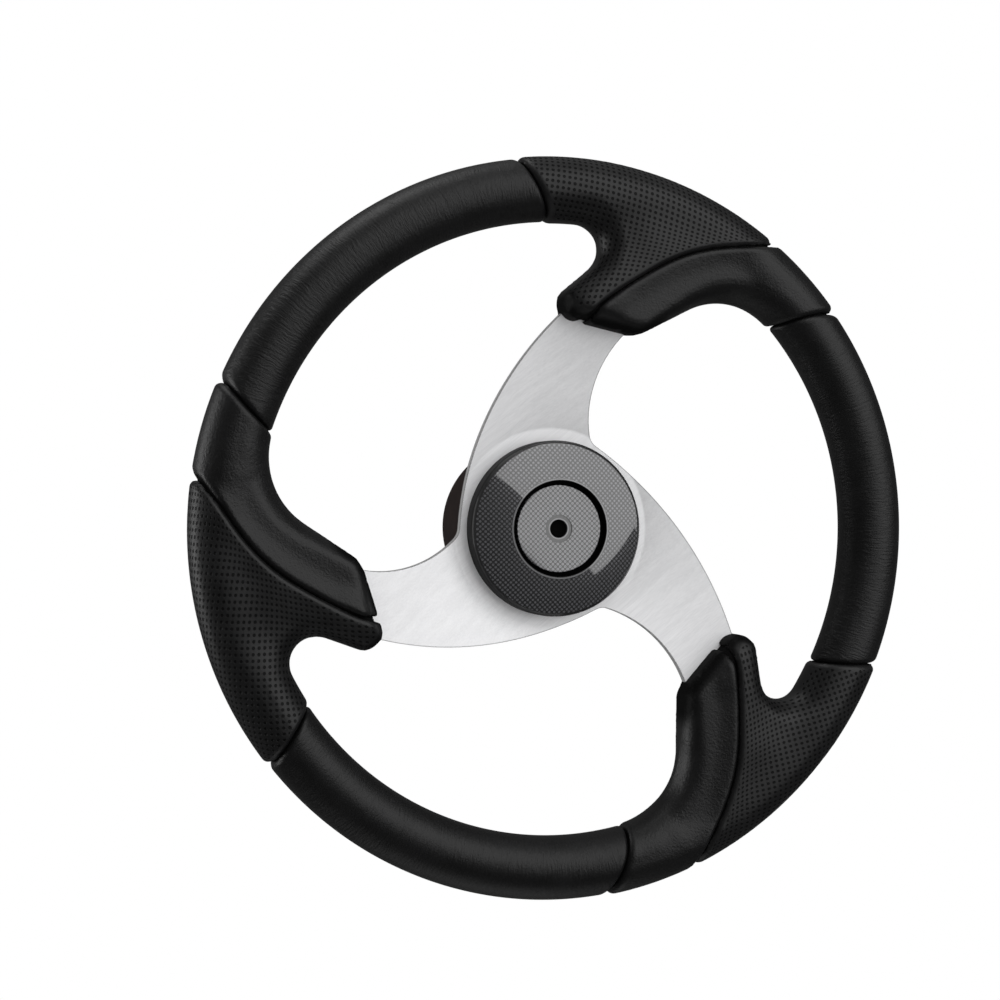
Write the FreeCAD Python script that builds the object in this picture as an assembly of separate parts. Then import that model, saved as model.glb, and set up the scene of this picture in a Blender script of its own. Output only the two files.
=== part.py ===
import FreeCAD, Part
import math
import os

from FreeCAD import Vector

# Boat steering wheel, 350 mm across: a padded rim with a thumb notch at each spoke, a dished
# plate with curved spokes, a dark boss behind it and a glossy cap in front.
#
# Millimetres, +Z up. The wheel turns about Y and its face looks along -Y. The origin is the
# mouth of the shaft bore, in the middle of the boss's back end.
# A sector is drawn with its spoke near the top, in plan coordinates (x, z) about the axis, and
# the other sectors are turned copies. A place on the sector is given as its distance inside the
# middle circle of the rim and its angle round the axis from +X, so it goes with the rim.

# Rim and spokes
SPOKES = 3
RIM_R = 160.0               # axis to the middle of the grip
SLEEVE_R = 15.0             # grip radius of the plain sleeves
PALM_R = 15.7               # grip radius of the shaped covers beside a spoke
RIM_FORWARD = 63.0          # bore mouth to the middle plane of the rim
COVER_T = 3.2               # cover and its padding, over the foam
EDGE_ROLL = 2.8             # roll of a cover's edge down into its seam
SEAM_GAP = 0.5              # open width at the bottom of a seam
RING_R = 5.5                # steel rod inside the foam
FOAM_SHORT = 2.5            # the foam's thicker part stops this far short of the seams

# Plan outline of a shaped cover's inner edge: circles joined by their common tangents
NOTCH_R = 12.0              # thumb notch
NOTCH_ANGLE = 87.2          # angle of its centre
HEEL_R = 8.2                # corner of the cover on the notch side of the spoke
HEEL_PLACE = (53.1, 86.0)
TOE_R = 10.0                # corner of the cover on the far side of the spoke
TOE_PLACE = (51.7, 70.8)
ARCH_SHARE = 0.228          # radius of the long hollow to the next sleeve, as a share of the rim's
ARCH_ANGLE = 42.0
CORNER_INSET = 0.5          # share of the full rounding that the heel and toe take
HOLLOW_INSET = 0.75         # share that the notch and the arch take
CREST_ANGLE = 82.0          # how far round the grip's section the side surface runs
SECTION_SHARES = [-1.0, -0.88, -0.7, -0.49, -0.24, 0.0, 0.24, 0.49, 0.7, 0.88, 1.0]
CREST_ROUND = 6.0           # rounding where the side surface meets the flat crest
PALM_START = 104.0          # the shaped grip is drawn past its seams, to these angles
PALM_END = 30.0

# Seams, each as places from the inner edge to the outer edge
SEAM_IN = [(35.0, 88.9), (14.8, 93.0), (-14.4, 97.4), (-31.5, 99.3)]
SWOOSH = [(73.0, 90.7), (60.4, 84.8), (53.4, 81.6), (42.8, 76.4), (32.1, 71.8), (21.9, 67.7),
          (13.0, 63.8), (4.8, 59.8), (-3.5, 55.8), (-14.5, 51.3), (-27.6, 47.0)]
SEAM_OUT = [(32.7, 46.3), (14.3, 42.4), (0.0, 40.0), (-14.1, 36.9), (-29.4, 33.5)]
BESIDE_HEEL = (61.8, 104.7)  # off the cover, on the notch side of the heel
BELOW_LOBE = (75.0, 90.7)   # off the cover, towards the axis

# Spoke plate
PLATE_T = 4.0
PLATE_BACK = 15.5           # plate's front face at the hub, behind the middle plane of the rim
BEND_R = 48.0               # radius of the bend round the flat centre
LEVEL_REACH = 42.0          # the spokes are level from here out to the rim
BEND_ROUND = 4.0            # inside radius of a bend
LEAD_SHARE = 1.0            # radius of a spoke's notch-side edge, as a share of the rim's
LEAD_PLACE = (60.0, 90.7)   # where that edge enters the grip
LEAD_HEADING = 46.1         # and the way it runs there, from +X
TRAIL_SHARE = 0.3375        # radius of a spoke's far edge, as a share of the rim's
TRAIL_PLACE = (60.0, 70.2)
TRAIL_HEADING = 45.2
CROTCH_R = 8.0              # corner between two spokes
PLATE_SHORT = 0.5           # gap between the spoke's end and the ring
PLATE_HOLE_R = 16.0

# Tabs and rivets that hold the spokes to the ring
TAB_T = 3.0
TAB_W = 34.0
TAB_LAP = 23.0              # how far a spoke lies over its tab
TAB_CORNER = 5.0
RIVET_R = 2.5
RIVET_HEAD_R = 4.5
RIVET_HEAD_T = 1.6
RIVET_INSET = 13.0          # rivets inside the spoke's end
RIVET_APART = 18.0

# Boss
BOSS_R = 42.1
BOSS_TAPER = 0.6            # extra radius at the plate end
BOSS_WALL = 2.6
BOSS_FLOOR = 2.0
BOSS_ROUND = 1.2
HUB_R = 17.0
HUB_FLANGE_R = 29.0
HUB_FLANGE_T = 6.0
HUB_RIBS = 6
HUB_RIB_T = 4.0
HUB_RIB_END = 9.0           # ribs stop this far short of the bore mouth
HUB_CHAMFER = 1.0
SPIGOT_PLAY = 0.1           # hub's spigot in the plate's hole
NUT_WELL_R = 12.5
NUT_WELL_DEPTH = 9.0
BORE_MOUTH_R = 9.6
BORE_MOUTH_L = 6.0
BORE_TAPER_R = 9.4          # large end of the taper
BORE_TAPER = 1.0 / 24.0     # fall of radius along the taper, 1 in 12 on the diameter
KEY_W = 4.8
KEY_DEPTH = 2.4
SCREWS = 6
SCREW_R = 3.0
SCREW_AT = 22.8
SCREW_START = 30.0          # angle of the first screw, between two ribs
SCREW_HEAD_R = 4.8
SCREW_HEAD_H = 3.2
SCREW_PLAY = 0.25           # clearance hole round a screw
SCREW_SHORT = 0.8           # the screw's end below the back of the flange
SOCKET_R = 2.6              # hexagon socket, across its corners, halved
SOCKET_DEPTH = 1.8

# Cap
CAP_R = 42.0
CAP_WALL = 2.4
CAP_SIDE = 7.5              # height of the cap's side above the plate
CAP_EDGE = 1.6
CAP_CREST = 0.5             # crest of the cap behind the middle plane of the rim
CAP_BULGE = 1.1             # crown of the cap's slope
LIP_ROUND = 0.5
WELL_R = 22.8
DISC_R = 20.8
DISC_T = 2.6
DISC_SINK = 2.5             # disc's face below the crest
DISC_ROUND = 0.4
EYE_R = 4.35
EYE_SINK_R = 6.5
EYE_SINK = 0.5
CARRIER_T = 2.4
CARRIER_LIP = 3.0
SNAP_GAP = 0.3              # carrier inside the cap's wall

MID_Y = -RIM_FORWARD
PLATE_FRONT_Y = MID_Y + PLATE_BACK
PLATE_BACK_Y = PLATE_FRONT_Y + PLATE_T
SPOKE_FRONT_Y = MID_Y - PLATE_T / 2
SPOKE_BACK_Y = MID_Y + PLATE_T / 2
LEVEL_R = RIM_R - LEVEL_REACH
DISH_SLOPE = (PLATE_BACK + PLATE_T / 2) / (LEVEL_R - BEND_R)
PLATE_END_R = RIM_R - RING_R - PLATE_SHORT
RIVET_RING_R = PLATE_END_R - RIVET_INSET
TAB_IN_R = PLATE_END_R - TAB_LAP
FLANGE_FRONT_Y = PLATE_BACK_Y + BOSS_FLOOR
FLANGE_BACK_Y = FLANGE_FRONT_Y + HUB_FLANGE_T
CARRIER_FRONT_Y = PLATE_FRONT_Y - CARRIER_T
CREST_Y = MID_Y + CAP_CREST
DISC_FRONT_Y = CREST_Y + DISC_SINK
DISC_BACK_Y = DISC_FRONT_Y + DISC_T
SECTOR = 360.0 / SPOKES
PALM_IN_R = RIM_R - PALM_R
ARCH_R = RIM_R * ARCH_SHARE
LEAD_R = RIM_R * LEAD_SHARE
TRAIL_R = RIM_R * TRAIL_SHARE
BLOCK_HALF = 1.5 * PALM_R
FAR = 2 * RIM_R
SAME = 1e-4                 # sizes this close are the same
NEAR = 0.01                 # an edge this close to a seam lies on it
AXIS = Vector(0, 1, 0)
ORIGIN = Vector(0, 0, 0)


def at(plan, y=0.0):
    """A plan point (x, z) at the height y along the axis."""
    return Vector(plan[0], y, plan[1])


def polar(radius, degrees):
    """Plan point at a radius and an angle from +X."""
    return (radius * math.cos(math.radians(degrees)), radius * math.sin(math.radians(degrees)))


def placed(place):
    """Plan point of a place: its distance inside the rim's middle circle, and its angle."""
    return polar(RIM_R - place[0], place[1])


def turned(shape, index):
    """A copy of a sector's shape, turned to sector number index, clockwise seen from the front."""
    copy = shape.copy()
    copy.rotate(ORIGIN, AXIS, SECTOR * index)
    return copy


def plan_turned(plan, index):
    """A plan point turned to sector number index."""
    angle = math.radians(SECTOR * index)
    return (plan[0] * math.cos(angle) + plan[1] * math.sin(angle),
            plan[1] * math.cos(angle) - plan[0] * math.sin(angle))


def spun(profile):
    """Solid of revolution about Y from a closed outline of (radius, y) points."""
    points = [Vector(radius, y, 0) for radius, y in profile]
    wire = Part.makePolygon(points + points[:1])
    return Part.Face(wire).revolve(ORIGIN, AXIS, 360)


def rod(plan, radius, y_low, y_high):
    """Round bar along Y."""
    return Part.makeCylinder(radius, y_high - y_low, at(plan, y_low), AXIS)


def circle_edges(shape, radius, y):
    """Edges of a turned shape that are circles of a radius about the axis at the height y."""
    found = []
    for edge in shape.Edges:
        curve = edge.Curve
        if not isinstance(curve, Part.Circle):
            continue
        if abs(curve.Radius - radius) < SAME and abs(curve.Center.y - y) < SAME:
            found.append(edge)
    return found


def tangent(centre_a, radius_a, side_a, centre_b, radius_b, side_b):
    """Ends of the line that leaves one circle and meets the next one without a corner.

    A side of 1 has the circle's centre on the right of the line, and -1 on its left.
    """
    dx = centre_b[0] - centre_a[0]
    dz = centre_b[1] - centre_a[1]
    apart = math.hypot(dx, dz)
    lean = math.asin((side_a * radius_a - side_b * radius_b) / apart)
    heading = math.atan2(dz, dx) - lean
    left = (-math.sin(heading), math.cos(heading))
    start = (centre_a[0] + side_a * radius_a * left[0], centre_a[1] + side_a * radius_a * left[1])
    end = (centre_b[0] + side_b * radius_b * left[0], centre_b[1] + side_b * radius_b * left[1])
    return start, end


def arc_about(centre, radius, start, end, y, clockwise):
    """Arc about a centre from one plan point to another."""
    a = math.atan2(start[1] - centre[1], start[0] - centre[0])
    b = math.atan2(end[1] - centre[1], end[0] - centre[0])
    if clockwise and b > a:
        b -= 2 * math.pi
    if not clockwise and b < a:
        b += 2 * math.pi
    middle = (centre[0] + radius * math.cos((a + b) / 2), centre[1] + radius * math.sin((a + b) / 2))
    return Part.Arc(at(start, y), at(middle, y), at(end, y)).toShape()


def palm_edges(inset, y):
    """Closed plan outline of the shaped grip, drawn in by inset from its widest line.

    It runs clockwise along the inner edge, through the notch, the heel, the toe and the arch,
    and back along the outer edge. The notch and arch circles touch the rim's inner edge.
    """
    axis = (0.0, 0.0)
    inner_r = PALM_IN_R + inset
    outer_r = RIM_R + PALM_R - inset
    notch_r = NOTCH_R + inset * HOLLOW_INSET
    notch_c = polar(inner_r - notch_r, NOTCH_ANGLE)
    heel_c = placed(HEEL_PLACE)
    heel_r = HEEL_R - inset * CORNER_INSET
    toe_c = placed(TOE_PLACE)
    toe_r = TOE_R - inset * CORNER_INSET
    arch_r = ARCH_R + inset * HOLLOW_INSET
    arch_c = polar(inner_r - arch_r, ARCH_ANGLE)
    rim_a = polar(inner_r, PALM_START)
    touch_a = polar(inner_r, NOTCH_ANGLE)
    leave_a, heel_a = tangent(notch_c, notch_r, 1, heel_c, heel_r, -1)
    heel_b, toe_a = tangent(heel_c, heel_r, -1, toe_c, toe_r, -1)
    toe_b, arch_a = tangent(toe_c, toe_r, -1, arch_c, arch_r, 1)
    touch_b = polar(inner_r, ARCH_ANGLE)
    rim_b = polar(inner_r, PALM_END)
    out_a = polar(outer_r, PALM_START)
    out_b = polar(outer_r, PALM_END)
    return [arc_about(axis, inner_r, rim_a, touch_a, y, True),
            arc_about(notch_c, notch_r, touch_a, leave_a, y, True),
            Part.makeLine(at(leave_a, y), at(heel_a, y)),
            arc_about(heel_c, heel_r, heel_a, heel_b, y, False),
            Part.makeLine(at(heel_b, y), at(toe_a, y)),
            arc_about(toe_c, toe_r, toe_a, toe_b, y, False),
            Part.makeLine(at(toe_b, y), at(arch_a, y)),
            arc_about(arch_c, arch_r, arch_a, touch_b, y, True),
            arc_about(axis, inner_r, touch_b, rim_b, y, True),
            Part.makeLine(at(rim_b, y), at(out_b, y)),
            arc_about(axis, outer_r, out_b, out_a, y, False),
            Part.makeLine(at(out_a, y), at(rim_a, y))]


def palm_body(skin):
    """Shaped grip of one sector, at a depth skin under its outside.

    Level outlines follow the round section of the rim from its back crest to its front crest,
    so the lobe beside the spoke is as thick as the rim.
    """
    grip_r = PALM_R - skin
    wires = []
    for share in SECTION_SHARES:
        turn = math.radians(share * CREST_ANGLE)
        inset = skin + grip_r * (1 - math.cos(turn))
        edges = palm_edges(inset, MID_Y + grip_r * math.sin(turn))
        wires.append(Part.Wire(edges))
    return Part.makeLoft(wires, True, False)


def crested(body):
    """The shaped grip with its side surface running smoothly into its flat crests."""
    crest = PALM_R * math.sin(math.radians(CREST_ANGLE))
    chosen = []
    for edge in body.Edges:
        first = edge.valueAt(edge.FirstParameter)
        last = edge.valueAt(edge.LastParameter)
        middle = edge.valueAt((edge.FirstParameter + edge.LastParameter) / 2)
        level = abs(abs(middle.y - MID_Y) - crest) < SAME
        turn = math.atan2(first.z, first.x) - math.atan2(last.z, last.x)
        if level and abs(turn) > SAME:
            chosen.append(edge)
    return body.makeFillet(CREST_ROUND, chosen)


def seam_line(places, shift, index=0):
    """Smooth seam through places of sector number index, moved to the left of its run by shift."""
    points = [plan_turned(placed(place), index) for place in places]
    moved = []
    for number, point in enumerate(points):
        before = points[max(number - 1, 0)]
        after = points[min(number + 1, len(points) - 1)]
        dx = after[0] - before[0]
        dz = after[1] - before[1]
        run = math.hypot(dx, dz)
        moved.append(at((point[0] - shift * dz / run, point[1] + shift * dx / run)))
    curve = Part.BSplineCurve()
    curve.interpolate(moved)
    return curve.toShape()


def beyond(point):
    """The point FAR from the axis, at the same angle."""
    return point * (FAR / math.hypot(point.x, point.z))


def block(first, second, inner):
    """Block between two seam lines, past the grip on every other side.

    Both lines run outwards. The places in inner join their inner ends, second to first.
    """
    first_end = first.valueAt(first.LastParameter)
    second_end = second.valueAt(second.LastParameter)
    ends = [first_end, beyond(first_end), beyond(second_end), second_end]
    starts = [second.valueAt(second.FirstParameter)]
    starts += [at(placed(place)) for place in inner]
    starts.append(first.valueAt(first.FirstParameter))
    edges = [first] + Part.makePolygon(ends).Edges + [second] + Part.makePolygon(starts).Edges
    face = Part.Face(Part.Wire(Part.__sortEdges__(edges)))
    face.translate(Vector(0, MID_Y - BLOCK_HALF, 0))
    return face.extrude(Vector(0, 2 * BLOCK_HALF, 0))


def rolled(cover, seams):
    """The cover with its edges rolled down into the seams."""
    chosen = []
    for edge in cover.Edges:
        middle = edge.valueAt((edge.FirstParameter + edge.LastParameter) / 2)
        foot = Part.Vertex(Vector(middle.x, 0, middle.z))
        if min(seam.distToShape(foot)[0] for seam in seams) < NEAR:
            chosen.append(edge)
    return cover.makeFillet(EDGE_ROLL, chosen)


def perforated_panel(grip, core):
    """Cover from the sleeve round the thumb notch to the spoke, over the curved seam."""
    seam_in = seam_line(SEAM_IN, -SEAM_GAP / 2)
    swoosh = seam_line(SWOOSH, SEAM_GAP / 2)
    panel = grip.common(block(seam_in, swoosh, [BESIDE_HEEL]))
    return rolled(panel, [seam_in, swoosh]).cut(core)


def smooth_panel(grip, core):
    """Cover from the spoke along the arch to the next sleeve, under the curved seam."""
    swoosh = seam_line(SWOOSH, -SEAM_GAP / 2)
    seam_out = seam_line(SEAM_OUT, SEAM_GAP / 2)
    panel = grip.common(block(swoosh, seam_out, []))
    return rolled(panel, [swoosh, seam_out]).cut(core)


def plain_sleeve(core):
    """Cover of the round stretch of rim, from one shaped part to the next."""
    seam_out = seam_line(SEAM_OUT, -SEAM_GAP / 2)
    seam_in = seam_line(SEAM_IN, SEAM_GAP / 2, 1)
    tube = Part.makeTorus(RIM_R, SLEEVE_R, at((0, 0), MID_Y), AXIS)
    sleeve = tube.common(block(seam_out, seam_in, []))
    return rolled(sleeve, [seam_out, seam_in]).cut(core)


def foam_sector():
    """Foam under the shaped covers of one sector, short of the seams beside the sleeves."""
    seam_in = seam_line(SEAM_IN, -FOAM_SHORT)
    seam_out = seam_line(SEAM_OUT, FOAM_SHORT)
    return palm_body(COVER_T).common(block(seam_in, seam_out, [BELOW_LOBE, BESIDE_HEEL]))


def foam_tube():
    """Foam round the ring, under the plain sleeves."""
    return Part.makeTorus(RIM_R, SLEEVE_R - COVER_T, at((0, 0), MID_Y), AXIS)


def ring():
    """Steel rod ring in the middle of the grip."""
    return Part.makeTorus(RIM_R, RING_R, at((0, 0), MID_Y), AXIS)


def meet(centre_a, radius_a, centre_b, radius_b):
    """Plan point where two circles meet, on the left of the line from the first centre."""
    dx = centre_b[0] - centre_a[0]
    dz = centre_b[1] - centre_a[1]
    apart = math.hypot(dx, dz)
    along = (apart ** 2 + radius_a ** 2 - radius_b ** 2) / (2 * apart)
    across = math.sqrt(radius_a ** 2 - along ** 2)
    return (centre_a[0] + (along * dx - across * dz) / apart,
            centre_a[1] + (along * dz + across * dx) / apart)


def toward(centre, through, radius):
    """Plan point at a radius from a centre, on the line through another point."""
    dx = through[0] - centre[0]
    dz = through[1] - centre[1]
    run = math.hypot(dx, dz)
    return (centre[0] + radius * dx / run, centre[1] + radius * dz / run)


def spoke_edge(place, heading, radius):
    """Centre of a spoke's curved edge, where it turns straight, and a point along the straight."""
    leave = placed(place)
    out = polar(1.0, heading)
    centre = (leave[0] + radius * out[1], leave[1] - radius * out[0])
    return centre, leave, (leave[0] + RIM_R * out[0], leave[1] + RIM_R * out[1])


def crossing(place, heading, radius):
    """Angle at which the straight edge through a place crosses a circle about the axis."""
    leave = placed(place)
    out = polar(1.0, heading)
    ahead = leave[0] * out[0] + leave[1] * out[1]
    run = math.sqrt(ahead ** 2 + radius ** 2 - leave[0] ** 2 - leave[1] ** 2) - ahead
    return math.degrees(math.atan2(leave[1] + run * out[1], leave[0] + run * out[0]))


def spoke_axis():
    """Angle of the spoke's middle where it is riveted, between its two straight edges."""
    lead = crossing(LEAD_PLACE, LEAD_HEADING, RIVET_RING_R)
    trail = crossing(TRAIL_PLACE, TRAIL_HEADING, RIVET_RING_R)
    return (lead + trail) / 2


def opening():
    """Gap between a spoke's far edge and the next spoke's notch-side edge, through the plate."""
    trail_c, trail_leave, trail_far = spoke_edge(TRAIL_PLACE, TRAIL_HEADING, TRAIL_R)
    lead_c, lead_leave, lead_far = [plan_turned(point, 1)
                                    for point in spoke_edge(LEAD_PLACE, LEAD_HEADING, LEAD_R)]
    crotch_c = meet(lead_c, LEAD_R + CROTCH_R, trail_c, TRAIL_R - CROTCH_R)
    trail_touch = toward(trail_c, crotch_c, TRAIL_R)
    lead_touch = toward(lead_c, crotch_c, LEAD_R)
    corner = at(polar(FAR, 0.0))
    edges = [Part.makeLine(at(trail_far), at(trail_leave)),
             arc_about(trail_c, TRAIL_R, trail_leave, trail_touch, 0.0, False),
             arc_about(crotch_c, CROTCH_R, trail_touch, lead_touch, 0.0, False),
             arc_about(lead_c, LEAD_R, lead_touch, lead_leave, 0.0, True),
             Part.makeLine(at(lead_leave), at(lead_far)),
             Part.makeLine(at(lead_far), corner),
             Part.makeLine(corner, at(trail_far))]
    return Part.Face(Part.Wire(edges)).extrude(Vector(0, MID_Y - BLOCK_HALF, 0))


def around(count, radius, start):
    """Plan points evenly spaced round the axis."""
    return [polar(radius, start + 360.0 * number / count) for number in range(count)]


def rivet_places():
    """Plan points of the rivets of all the spokes."""
    angle = spoke_axis()
    side = polar(RIVET_APART / 2, angle - 90.0)
    middle = polar(RIVET_RING_R, angle)
    pair = [(middle[0] + side[0], middle[1] + side[1]), (middle[0] - side[0], middle[1] - side[1])]
    return [plan_turned(point, index) for index in range(SPOKES) for point in pair]


def spoke_plate():
    """One plate, dished at the hub, with three spokes that curve into the grip."""
    shift = PLATE_T * math.tan(math.atan(DISH_SLOPE) / 2)
    bend_back_r = BEND_R + shift
    level_back_r = LEVEL_R + shift
    plate = spun([(PLATE_HOLE_R, PLATE_FRONT_Y), (BEND_R, PLATE_FRONT_Y), (LEVEL_R, SPOKE_FRONT_Y),
                  (PLATE_END_R, SPOKE_FRONT_Y), (PLATE_END_R, SPOKE_BACK_Y),
                  (level_back_r, SPOKE_BACK_Y), (bend_back_r, PLATE_BACK_Y),
                  (PLATE_HOLE_R, PLATE_BACK_Y)])
    inside = circle_edges(plate, BEND_R, PLATE_FRONT_Y)
    inside += circle_edges(plate, level_back_r, SPOKE_BACK_Y)
    plate = plate.makeFillet(BEND_ROUND, inside)
    outside = circle_edges(plate, bend_back_r, PLATE_BACK_Y)
    outside += circle_edges(plate, LEVEL_R, SPOKE_FRONT_Y)
    plate = plate.makeFillet(BEND_ROUND + PLATE_T, outside)
    for index in range(SPOKES):
        plate = plate.cut(turned(opening(), index))
    for place in around(SCREWS, SCREW_AT, SCREW_START):
        plate = plate.cut(rod(place, SCREW_R + SCREW_PLAY, PLATE_FRONT_Y, PLATE_BACK_Y))
    for place in rivet_places():
        plate = plate.cut(rod(place, RIVET_R, SPOKE_FRONT_Y, SPOKE_BACK_Y))
    return plate


def spoke_tab(rod_ring):
    """Steel tab behind a spoke's end, coped round the ring that it is welded to."""
    length = RIM_R - RING_R / 2 - TAB_IN_R
    tab = Part.makeBox(TAB_W, TAB_T, length, Vector(-TAB_W / 2, SPOKE_BACK_Y, TAB_IN_R))
    corners = []
    for edge in tab.Edges:
        centre = edge.CenterOfMass
        if abs(centre.z - TAB_IN_R) < SAME and abs(abs(centre.x) - TAB_W / 2) < SAME:
            corners.append(edge)
    tab = tab.makeFillet(TAB_CORNER, corners)
    tab.rotate(ORIGIN, AXIS, 90.0 - spoke_axis())
    tab = tab.cut(rod_ring)
    for place in rivet_places()[:2]:
        tab = tab.cut(rod(place, RIVET_R, SPOKE_BACK_Y, SPOKE_BACK_Y + TAB_T))
    return tab


def rivets():
    """Rivets through the spokes and tabs, each with a head at both ends."""
    tab_back_y = SPOKE_BACK_Y + TAB_T
    solids = []
    for place in rivet_places():
        rivet = rod(place, RIVET_R, SPOKE_FRONT_Y, tab_back_y)
        front = rod(place, RIVET_HEAD_R, SPOKE_FRONT_Y - RIVET_HEAD_T, SPOKE_FRONT_Y)
        back = rod(place, RIVET_HEAD_R, tab_back_y, tab_back_y + RIVET_HEAD_T)
        solids.append(rivet.fuse([front, back]))
    return Part.makeCompound(solids)


def boss_cover():
    """Round shroud behind the plate, open at the back, its floor held under the hub's flange."""
    top_r = BOSS_R + BOSS_TAPER
    shell = spun([(PLATE_HOLE_R, PLATE_BACK_Y), (top_r, PLATE_BACK_Y), (BOSS_R, 0.0),
                  (BOSS_R - BOSS_WALL, 0.0), (top_r - BOSS_WALL, FLANGE_FRONT_Y),
                  (PLATE_HOLE_R, FLANGE_FRONT_Y)])
    rims = circle_edges(shell, BOSS_R, 0.0) + circle_edges(shell, top_r, PLATE_BACK_Y)
    shell = shell.makeFillet(BOSS_ROUND, rims)
    for place in around(SCREWS, SCREW_AT, SCREW_START):
        shell = shell.cut(rod(place, SCREW_R + SCREW_PLAY, PLATE_BACK_Y, FLANGE_FRONT_Y))
    return shell


def hub():
    """Metal hub: spigot and flange for the plate, tapered shaft bore with a keyway, nut well."""
    spigot_r = PLATE_HOLE_R - SPIGOT_PLAY
    well_y = PLATE_FRONT_Y + NUT_WELL_DEPTH
    bore_end_r = BORE_TAPER_R - BORE_TAPER * (-BORE_MOUTH_L - well_y)
    body = spun([(NUT_WELL_R, PLATE_FRONT_Y), (spigot_r, PLATE_FRONT_Y), (spigot_r, FLANGE_FRONT_Y),
                 (HUB_FLANGE_R, FLANGE_FRONT_Y), (HUB_FLANGE_R, FLANGE_BACK_Y), (HUB_R, FLANGE_BACK_Y),
                 (HUB_R, -HUB_CHAMFER), (HUB_R - HUB_CHAMFER, 0.0), (BORE_MOUTH_R, 0.0),
                 (BORE_MOUTH_R, -BORE_MOUTH_L), (BORE_TAPER_R, -BORE_MOUTH_L), (bore_end_r, well_y),
                 (NUT_WELL_R, well_y)])
    for number in range(HUB_RIBS):
        body = body.fuse(hub_rib(360.0 * number / HUB_RIBS))
    key = Part.makeBox(KEY_W, -well_y, BORE_TAPER_R + KEY_DEPTH, Vector(-KEY_W / 2, well_y, 0.0))
    body = body.cut(key)
    for place in around(SCREWS, SCREW_AT, SCREW_START):
        body = body.cut(rod(place, SCREW_R, FLANGE_FRONT_Y, FLANGE_BACK_Y))
    return body


def hub_rib(angle):
    """Web between the hub's barrel and the back of its flange."""
    foot_r = (BORE_MOUTH_R + HUB_R) / 2
    tip_r = HUB_FLANGE_R - HUB_CHAMFER
    outline = [Vector(foot_r, FLANGE_BACK_Y, 0), Vector(tip_r, FLANGE_BACK_Y, 0),
               Vector(HUB_R, -HUB_RIB_END, 0), Vector(foot_r, -HUB_RIB_END, 0)]
    face = Part.Face(Part.makePolygon(outline + outline[:1]))
    face.translate(Vector(0, 0, -HUB_RIB_T / 2))
    rib = face.extrude(Vector(0, 0, HUB_RIB_T))
    rib.rotate(ORIGIN, AXIS, -angle)
    return rib


def hub_screws():
    """Socket screws from the carrier through the plate and the shroud into the hub's flange."""
    solids = []
    for place in around(SCREWS, SCREW_AT, SCREW_START):
        head_y = CARRIER_FRONT_Y - SCREW_HEAD_H
        head = rod(place, SCREW_HEAD_R, head_y, CARRIER_FRONT_Y)
        shank = rod(place, SCREW_R, CARRIER_FRONT_Y, FLANGE_BACK_Y - SCREW_SHORT)
        corners = [at(place, head_y) + at(point) for point in around(6, SOCKET_R, 0.0)]
        hexagon = Part.Face(Part.makePolygon(corners + corners[:1]))
        socket = hexagon.extrude(Vector(0, SOCKET_DEPTH, 0))
        solids.append(head.fuse(shank).cut(socket))
    return Part.makeCompound(solids)


def cap_carrier():
    """Plastic ring under the screw heads, with a rim that the cap snaps over."""
    outer_r = CAP_R - CAP_WALL - SNAP_GAP
    ring_part = spun([(NUT_WELL_R, CARRIER_FRONT_Y), (outer_r - CARRIER_T, CARRIER_FRONT_Y),
                      (outer_r - CARRIER_T, CARRIER_FRONT_Y - CARRIER_LIP),
                      (outer_r, CARRIER_FRONT_Y - CARRIER_LIP), (outer_r, PLATE_FRONT_Y),
                      (NUT_WELL_R, PLATE_FRONT_Y)])
    for place in around(SCREWS, SCREW_AT, SCREW_START):
        ring_part = ring_part.cut(rod(place, SCREW_R + SCREW_PLAY, CARRIER_FRONT_Y, PLATE_FRONT_Y))
    return ring_part


def crown(outer, inner, bulge):
    """Arc in the radius plane between two (radius, y) points, bulging forwards."""
    dr = inner[0] - outer[0]
    dy = inner[1] - outer[1]
    run = math.hypot(dr, dy)
    middle_r = (outer[0] + inner[0]) / 2 + bulge * dy / run
    middle_y = (outer[1] + inner[1]) / 2 - bulge * abs(dr) / run
    middle = Vector(middle_r, middle_y, 0)
    return Part.Arc(Vector(*outer, 0), middle, Vector(*inner, 0)).toShape()


def centre_cap():
    """Glossy cap: low side, crowned slope up to the lip of a round well, floor for the disc."""
    shoulder_y = PLATE_FRONT_Y - CAP_SIDE
    fall = (shoulder_y - CREST_Y) / (CAP_R - WELL_R)
    drop = CAP_WALL * math.hypot(1.0, fall)
    inner_r = CAP_R - CAP_WALL
    wall_r = WELL_R + CAP_WALL
    shoulder_in = (inner_r, shoulder_y - fall * CAP_WALL + drop)
    lip_in = (wall_r, CREST_Y + fall * CAP_WALL + drop)
    floor_y = DISC_BACK_Y + CAP_WALL
    path = [(WELL_R, CREST_Y), (WELL_R, DISC_BACK_Y), (0.0, DISC_BACK_Y), (0.0, floor_y),
            (wall_r, floor_y), lip_in]
    base = [shoulder_in, (inner_r, PLATE_FRONT_Y), (CAP_R, PLATE_FRONT_Y), (CAP_R, shoulder_y)]
    edges = Part.makePolygon([Vector(*point, 0) for point in path]).Edges
    edges.append(crown(shoulder_in, lip_in, CAP_BULGE))
    edges += Part.makePolygon([Vector(*point, 0) for point in base]).Edges
    edges.append(crown((CAP_R, shoulder_y), (WELL_R, CREST_Y), CAP_BULGE))
    cap = Part.Face(Part.Wire(Part.__sortEdges__(edges))).revolve(ORIGIN, AXIS, 360)
    cap = cap.makeFillet(CAP_EDGE, circle_edges(cap, CAP_R, shoulder_y))
    return cap.makeFillet(LIP_ROUND, circle_edges(cap, WELL_R, CREST_Y))


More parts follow.
